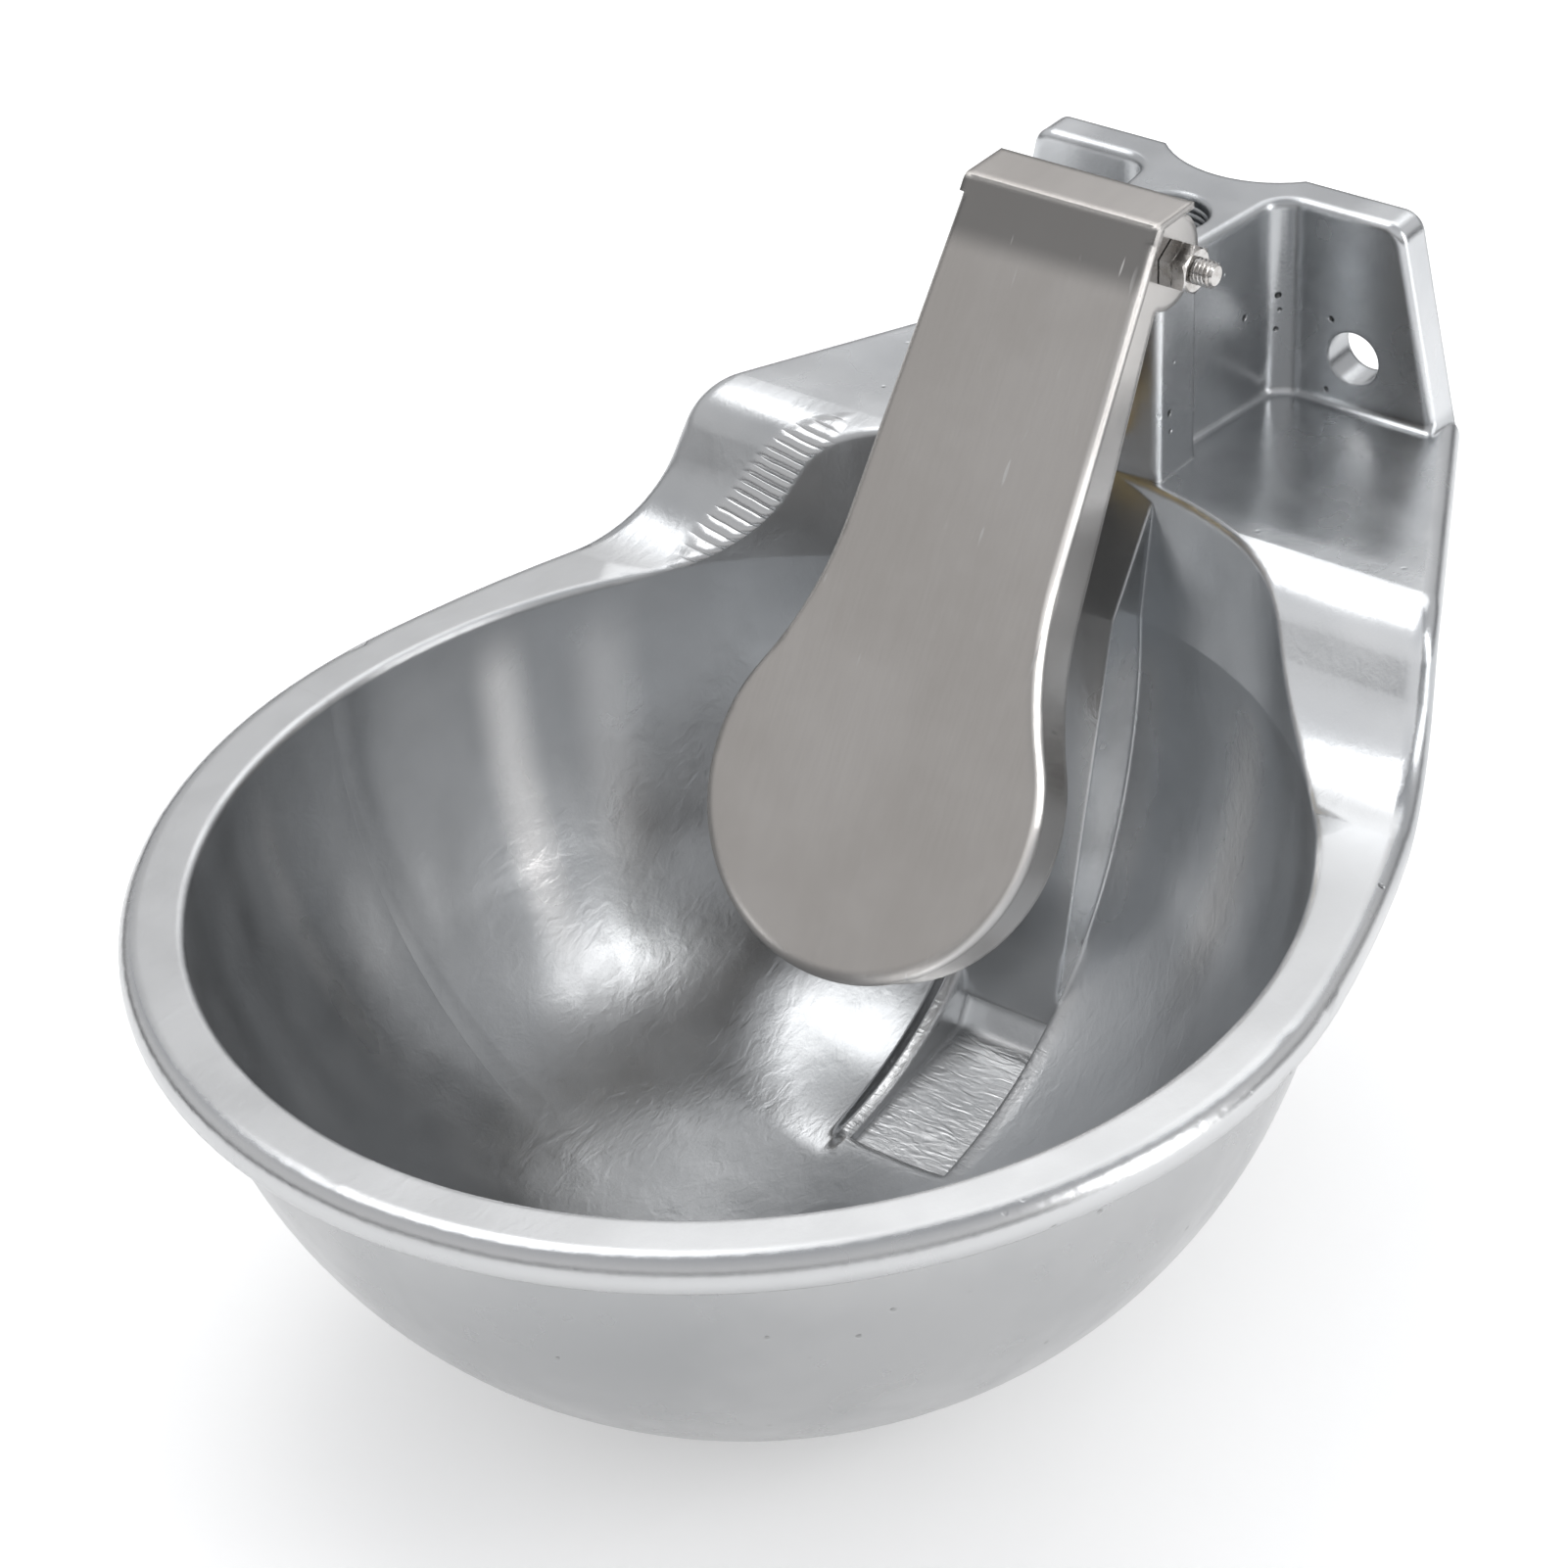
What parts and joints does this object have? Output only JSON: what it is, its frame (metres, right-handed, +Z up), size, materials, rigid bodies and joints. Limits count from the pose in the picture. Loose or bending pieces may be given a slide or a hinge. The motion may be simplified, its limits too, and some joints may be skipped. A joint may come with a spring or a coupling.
{
  "type": "livestock drinking bowl",
  "caption": "Wall-mounted cast aluminium drinking bowl for livestock with a hinged stainless tongue that opens a brass water valve.",
  "frame": {"origin": "midway between the two wall bolt holes, on the back face that lies against the wall", "axes": "+Z up, +Y into the wall, the bowl reaches out along -Y, and the pivot bolt's nuts are on the +X side"},
  "size_m": [0.256, 0.3247, 0.22],
  "materials": {
    "cast_aluminium": "satin, as cast and tumbled",
    "stainless": "fine brushed",
    "plated_steel": "bright zinc plated",
    "brass": "turned",
    "rubber": "matte",
    "spring_steel": "drawn wire",
    "strainer_plastic": "moulded"
  },
  "bodies": {
    "bowl": {"bowl_casting": "cast_aluminium", "pivot_bolt": "plated_steel", "pivot_nut": "plated_steel", "pivot_lock_nut": "plated_steel", "pivot_washers": "plated_steel", "valve_body": "brass", "body_gasket": "rubber", "spring_retainer": "brass", "inlet_strainer": "strainer_plastic", "valve_spring": "spring_steel"},
    "tongue": {"tongue": "stainless"},
    "stem": {"valve_stem": "stainless", "seal_disc": "rubber", "seal_cup": "brass", "stem_clip": "spring_steel"}
  },
  "joints": [
    {"name": "tongue_hinge", "type": "hinge", "parent": "bowl", "child": "tongue", "pos_m": [0, -0.0625, 0.0436], "axis": [1, 0, 0], "range_deg": [0, 5]},
    {"name": "stem_slide", "type": "slide", "parent": "bowl", "child": "stem", "axis": [0, 1, 0], "range_m": [0, 0.0064], "stiffness_N_per_m": 800, "springref_m": -0.004, "deforming": ["valve_spring"]}
  ],
  "couplings": [
    {"joint": "stem_slide", "follows": "tongue_hinge", "m_per_rad": 0.0715}
  ]
}
